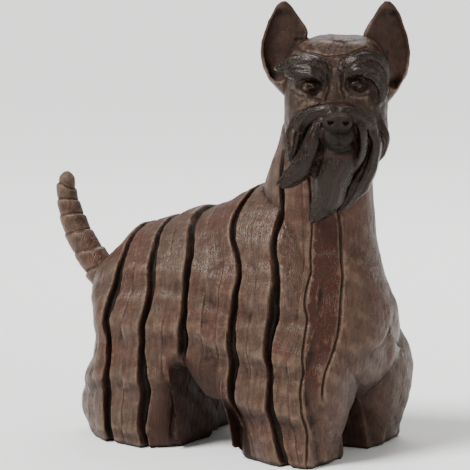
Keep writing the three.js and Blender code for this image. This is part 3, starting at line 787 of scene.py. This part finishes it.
# Feet cut flat at the ground, and the skin thinned where it is plain.
TRIANGLES = 190_000
choose(statuette)
bpy.ops.object.mode_set(mode="EDIT")
bpy.ops.mesh.select_all(action="SELECT")
bpy.ops.mesh.bisect(plane_co=(0, 0, 0), plane_no=(0, 0, 1), use_fill=True, clear_inner=True)
bpy.ops.mesh.select_all(action="SELECT")
bpy.ops.mesh.quads_convert_to_tris()
bpy.ops.object.mode_set(mode="OBJECT")
thin = statuette.modifiers.new("thin", "DECIMATE")
thin.ratio = TRIANGLES / len(body.polygons)
bpy.ops.object.modifier_apply(modifier="thin")
body = statuette.data
for polygon in body.polygons:
    polygon.use_smooth = True

# Colour marks at each point of the skin: painted shade in hollows, grooves and under the body,
# painted highlight with wear on edges, head, hair, the red plank, eyes and pupils, and the lay of
# the hair or planks that the grain follows.
points = read(body, "co") / MM + ORIGIN
x, y, z = points.T
u = station_at(x, z)
efz = head_frame(points)
normals = read(body, "normal")
near = smoothed(body, points, 3)
bulge = np.einsum("ij,ij->i", points - near, normals)
wide_near = smoothed(body, points, 24)
wide_bulge = np.einsum("ij,ij->i", points - wide_near, normals)
# Painted shade: darker in creases and broad hollows, where a point lies below its neighbours.
hollow = np.clip(-bulge / 0.4, 0, 1) * 0.75 + np.clip(-wide_bulge / 1.6 - 0.5, 0, 1) * 0.4
on_head = head_share(points, efz)
nearness, lay = comb(points)
on_hair = step(1.5, 1.15, nearness) * on_head
on_hair = np.maximum(on_hair, step(44, 50, efz[:, 1]) * step(262, 268, z) * step(304, 300, z))
lay[:, :2] = np.where(on_hair[:, None] > 0.5, lay[:, :2], np.stack([u, z], axis=1))
# Painted shade: the deep grooves between the groups of planks, painted near black.
groove_shade = (groove_sink(u, z, 1.0) * (1 - on_head) * step(-170, -164, x)
             * step(6, 14, np.abs(y) + 0.2 * z) * step(88, 78, x))
# Lighter on ridges and broad bulges, less on the hair and the muzzle's front: partly rubbed wear,
# partly painted highlight.
wear_and_highlight = np.clip((bulge - 0.14 * on_hair) / 0.4, 0, 1) * 0.8
wear_and_highlight += np.clip(wide_bulge / 2.2, 0, 1) * 0.15 * (1 - on_hair)
wear_and_highlight *= 1 - 0.85 * step(48, 58, efz[:, 1]) * on_head
eye_mark, pupil, round_eyes = np.zeros((3, len(points)))
for eye_e, eye_z in EYES:
    flat = np.hypot(efz[:, 0] - eye_e, (efz[:, 2] - eye_z) * 1.12)
    eye_mark = np.maximum(eye_mark, (efz[:, 1] > 24) * step(EYE_RADIUS, EYE_RADIUS * 0.88, flat))
    pupil = np.maximum(pupil, step(3.4, 2.6, flat))
    round_eyes = np.maximum(round_eyes, step(14, 8, flat))

# Stain rubbed thick on the nose, the ears darker inside, painted shade under the belly, on the
# front of the rear legs and between the legs; the red plank, with a red tone over the leg front
# and the belly's side.
nose = (step(50, 58, efz[:, 1]) * step(262, 268, z) * step(302, 298, z)
        * step(15, 12, np.abs(efz[:, 0])))
in_ear = step(2, -6, efz[:, 1]) * step(330, 345, z) * step(-0.2, 0.4, normals @ FORWARD)
in_ear *= step(26, 34, np.abs(efz[:, 0] - 2))
# Painted shade: darker on faces turned down under the body, on the front of the rear legs, on the
# low flank between the legs, between the legs and on their inner sides.
belly = step(-0.1, -0.7, normals[:, 2]) * step(110, 90, z)
leg_front = (step(-0.1, 0.9, normals[:, 0]) * step(98, 72, z)
             * step(-84, -60, x) * step(-20, -34, x))
belly_side = step(98, 70, z) * step(-44, -32, x) * step(12, 2, x)
between_legs = (step(0.2, 0.7, np.abs(normals[:, 0])) * step(80, 66, z)
                * step(34, 10, x) * step(-40, 0, x))
inner_leg = step(46, 30, np.abs(y)) * step(80, 60, z)
stain_and_shade = np.max([0.9 * nose, 0.42 * in_ear, 0.6 * belly, 0.35 * leg_front, 0.45 * belly_side,
                  0.5 * between_legs, 0.3 * inner_leg], axis=0)
# Less painted shade round the eyes, and less painted highlight there and on the leg front and
# belly side.
hollow = hollow * (1 - 0.5 * round_eyes)
wear_and_highlight *= 1 - 0.6 * np.maximum(round_eyes, np.maximum(leg_front, belly_side))
# Painted shade from the hollows and grooves, with the nose's stain and the painted shade above
# laid over it.
dark = np.clip(np.maximum(hollow, groove_shade), 0, 1)
dark = dark + stain_and_shade * (1 - dark)
past_near, past_front = past_seams(x, z)
red = step(-0.5, 1, past_near) * step(0.5, -1, past_front) * step(-12, -20, y) * (1 - on_head)
red = red * step(38, 84, z)
red = np.max([red, 0.9 * leg_front, 0.6 * belly_side], axis=0)
MARKS = {
    "dark": dark, "wear_and_highlight": np.clip(wear_and_highlight, 0, 1), "head": on_head * step(-34, 6, efz[:, 1]),
    "hair": on_hair, "red": red, "eye": eye_mark, "pupil": pupil,
}
for name, values in MARKS.items():
    layer = body.attributes.new(name, "FLOAT", "POINT")
    layer.data.foreach_set("value", np.ascontiguousarray(values, dtype=np.float32))
stretched = np.ascontiguousarray(lay * (1, 0.05, 1), dtype=np.float32)
layer = body.attributes.new("lay", "FLOAT_VECTOR", "POINT")
layer.data.foreach_set("vector", stretched.ravel())


def colour(code):
    """A linear colour from an sRGB code such as 6e554b."""
    parts = [int(code[i:i + 2], 16) / 255 for i in (0, 2, 4)]
    return [p / 12.92 if p <= 0.04045 else ((p + 0.055) / 1.055) ** 2.4 for p in parts] + [1]


def add_node(tree, kind, settings=(), links=()):
    """Adds a node, sets its options and sockets, and links sockets from other nodes."""
    node = tree.nodes.new(kind)
    for name, value in dict(settings).items():
        if isinstance(name, str) and hasattr(node, name):
            setattr(node, name, value)
        else:
            node.inputs[name].default_value = value
    for name, source in dict(links).items():
        tree.links.new(source, node.inputs[name])
    return node


# Cast resin stained as dark carved wood: brown rubbed with red, with painted shade near black in
# the cuts and painted highlight on the edges.
resin = bpy.data.materials.new("stained_cast_resin")
resin.use_nodes = True
tree = resin.node_tree
shader = tree.nodes["Principled BSDF"]
place = add_node(tree, "ShaderNodeTexCoord").outputs["Object"]
marks = {
    name: add_node(tree, "ShaderNodeAttribute", {"attribute_name": name}).outputs["Fac"]
    for name in MARKS
}
lay = add_node(tree, "ShaderNodeAttribute", {"attribute_name": "lay"}).outputs["Vector"]


def blend_colours(share, first, second):
    """Mixes two colours; a colour is a code or another node's output."""
    node = add_node(tree, "ShaderNodeMix", {"data_type": "RGBA"})
    for socket, value in ((0, share), (6, first), (7, second)):
        if isinstance(value, str):
            node.inputs[socket].default_value = colour(value)
        elif isinstance(value, (int, float)):
            node.inputs[socket].default_value = value
        else:
            tree.links.new(value, node.inputs[socket])
    return node.outputs[2]


def ramp(source, low, high, bottom=0.0, top=1.0):
    """Stretches a number from low..high to bottom..top, held at the ends."""
    settings = {"From Min": low, "From Max": high, "To Min": bottom, "To Max": top}
    return add_node(tree, "ShaderNodeMapRange", settings, {"Value": source}).outputs["Result"]


def noise(source, scale, detail=3.0):
    """Noise over the places that another node's output gives."""
    settings = {"Scale": scale, "Detail": detail, "Roughness": 0.6}
    return add_node(tree, "ShaderNodeTexNoise", settings, {"Vector": source}).outputs["Fac"]


def squeezed(height):
    """Places on the object with their heights scaled, so that noise runs along the planks."""
    settings = {"Scale": (1, 1, height)}
    return add_node(tree, "ShaderNodeMapping", settings, {"Vector": place}).outputs[0]


def combine(operation, first, second):
    """Adds or multiplies the numbers of two other nodes."""
    sources = {0: first, 1: second}
    return add_node(tree, "ShaderNodeMath", {"operation": operation}, sources).outputs[0]


patches = noise(squeezed(0.6), 26)
streaks = noise(squeezed(0.07), 420, 4)
mottle = noise(squeezed(0.5), 240)
strands = noise(lay, 0.9)
pores = add_node(tree, "ShaderNodeTexVoronoi", {"Scale": 620.0, "Randomness": 1.0},
                 {"Vector": place}).outputs["Distance"]
face = blend_colours(ramp(patches, 0.45, 0.6), "291b12", "2c150d")
hair = blend_colours(ramp(mottle, 0.4, 0.62), "0d0805", "190c06")
brown = blend_colours(ramp(patches, 0.46, 0.64), "4a362b", "4c2d23")
LAYERS = (
    # laid over the brown one after another: share, colour
    (ramp(mottle, 0.4, 0.7, 0, 0.4), "2a1e17"),
    (ramp(marks["red"], 0, 1, 0, 0.9), "320f06"),
    (marks["head"], face),
    (marks["hair"], hair),
    (ramp(streaks, 0.45, 0.66, 0, 0.35), "180d08"),
    (ramp(strands, 0.45, 0.7, 0, 0.45), "0c0604"),
    (ramp(pores, 0.3, 0.16, 0, 0.5), "120906"),
    # Painted highlight, with some wear: a pale tan on ridges and edges.
    (ramp(marks["wear_and_highlight"], 0.2, 1.0, 0, 0.55), "75604f"),
    # Painted shade: deep brown, then near black, in hollows, grooves, under the belly and between
    # the legs, with the nose's stain and the ears' darker insides.
    (ramp(marks["dark"], 0.05, 0.5), "27120a"),
    (ramp(marks["dark"], 0.4, 0.9), "0d0502"),
    (marks["eye"], "2c1a0e"),
    (ramp(marks["pupil"], 0, 1), "030202"),
)
for share, shade in LAYERS:
    brown = blend_colours(share, brown, shade)
tree.links.new(brown, shader.inputs["Base Color"])

# Gloss and fine relief: glossier on the hair and most on the eyes, dull in the cuts; grain,
# pores and strands stand in a bump under a millimetre high.
sheen = ramp(streaks, 0.3, 0.7, 0.29, 0.44)
sheen = combine("MULTIPLY", sheen, ramp(marks["hair"], 0, 1, 1, 0.72))
sheen = combine("ADD", sheen, ramp(marks["dark"], 0.1, 0.8, 0, 0.35))
sheen = combine("MULTIPLY", sheen, ramp(marks["eye"], 0, 1, 1, 0.2))
tree.links.new(sheen, shader.inputs["Roughness"])
relief = combine("ADD", streaks, ramp(pores, 0.15, 0.4))
relief = combine("ADD", relief, ramp(strands, 0.7, 0.3))
bump = add_node(tree, "ShaderNodeBump", {"Strength": 0.5, "Distance": 0.0006}, {"Height": relief})
tree.links.new(bump.outputs["Normal"], shader.inputs["Normal"])
shader.inputs["IOR"].default_value = 1.36
shader.inputs["Specular Tint"].default_value = colour("fff3e8")
body.materials.clear()
body.materials.append(resin)

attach(statuette, "root")
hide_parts("terrier_statuette")

# Floor, light and camera: a pale studio floor under a soft high sun with two weak lamps, seen
# with a long lens from in front of the dog's right side.
bpy.ops.object.select_all(action="DESELECT")
bpy.ops.mesh.primitive_plane_add(size=30)
floor = bpy.context.object
floor.name = "floor"
paint = bpy.data.materials.new("floor_paint")
paint.use_nodes = True
coat = paint.node_tree.nodes["Principled BSDF"].inputs
coat["Base Color"].default_value = colour("f4f4f3")
coat["Roughness"].default_value = 0.9
floor.data.materials.append(paint)

AZIMUTH, ELEVATION, DISTANCE = math.radians(32), math.radians(8), 2.2
TARGET = np.array([0.04382, -0.00546, 0.1842])
SENSOR, LENS, SIDE_SHIFT = 36, 192.6, -0.0564
world = bpy.data.worlds.new("studio")
bpy.context.scene.world = world
world.use_nodes = True
sky = world.node_tree.nodes["Background"].inputs
sky["Color"].default_value = colour("f7f5f2")
sky["Strength"].default_value = 0.58


def from_target(azimuth, elevation, distance):
    """Place at a distance from the target; azimuth 0 is in front of the dog's right side."""
    level = math.cos(elevation)
    way = np.array([math.sin(azimuth) * level, -math.cos(azimuth) * level, math.sin(elevation)])
    return TARGET + distance * way


def aim(thing, place):
    """Puts a light or camera at a place, looking at the target."""
    thing.location = place
    gaze = Vector(TARGET - place)
    thing.rotation_euler = gaze.to_track_quat("-Z", "Y").to_euler()


LAMPS = (
    # name, kind, azimuth, elevation, angle or size, strength
    ("key", "SUN", -25, 50, math.radians(24), 5.6),
    ("fill", "AREA", 85, 20, 1.4, 8),
    ("back", "AREA", 200, 50, 1.2, 20),
)
for name, kind, azimuth, elevation, spread, strength in LAMPS:
    light = bpy.data.lights.new(name, kind)
    light.energy = strength
    if kind == "SUN":
        light.angle = spread
    else:
        light.size = spread
    thing = bpy.data.objects.new(name, light)
    bpy.context.collection.objects.link(thing)
    aim(thing, from_target(math.radians(azimuth), math.radians(elevation), 2.0))

camera = bpy.data.objects.new("camera", bpy.data.cameras.new("camera"))
bpy.context.collection.objects.link(camera)
bpy.context.scene.camera = camera
camera.data.sensor_width = SENSOR
camera.data.lens = LENS
camera.data.shift_x = SIDE_SHIFT
aim(camera, from_target(AZIMUTH, ELEVATION, DISTANCE))
